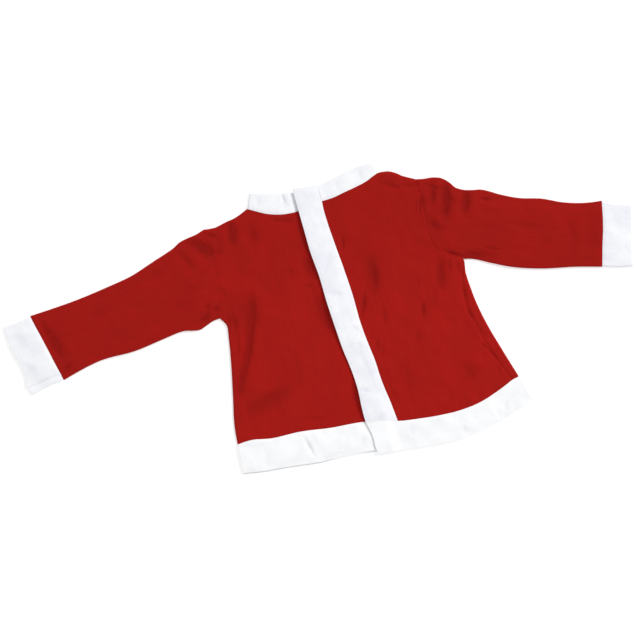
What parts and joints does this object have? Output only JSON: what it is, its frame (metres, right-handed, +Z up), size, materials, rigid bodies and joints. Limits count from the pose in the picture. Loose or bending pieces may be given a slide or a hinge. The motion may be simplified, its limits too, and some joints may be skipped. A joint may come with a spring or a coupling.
{
  "type": "santa suit jacket",
  "caption": "Baby-size red knit jacket with white collar, front band, cuffs and hem, buttonless, laid flat and closed on its back.",
  "frame": {"origin": "on the surface that the jacket lies on, under the middle of its bounding box", "axes": "+X from the wearer's right cuff to the left cuff, +Y from the hem up to the neck, +Z up out of the front"},
  "size_m": [0.6364, 0.2896, 0.0072],
  "materials": {
    "red_jersey": "matte fine cotton jersey knit",
    "white_fleece": "soft short-nap white fleece"
  },
  "bodies": {
    "root": {"back": "red_jersey", "front_right": "red_jersey", "front_left": "red_jersey", "sleeve_right": "red_jersey", "sleeve_left": "red_jersey", "cuff_right": "white_fleece", "cuff_left": "white_fleece", "collar": "white_fleece", "placket": "white_fleece", "hem_front_right": "white_fleece", "hem_front_left": "white_fleece", "hem_back": "white_fleece"}
  },
  "joints": []
}
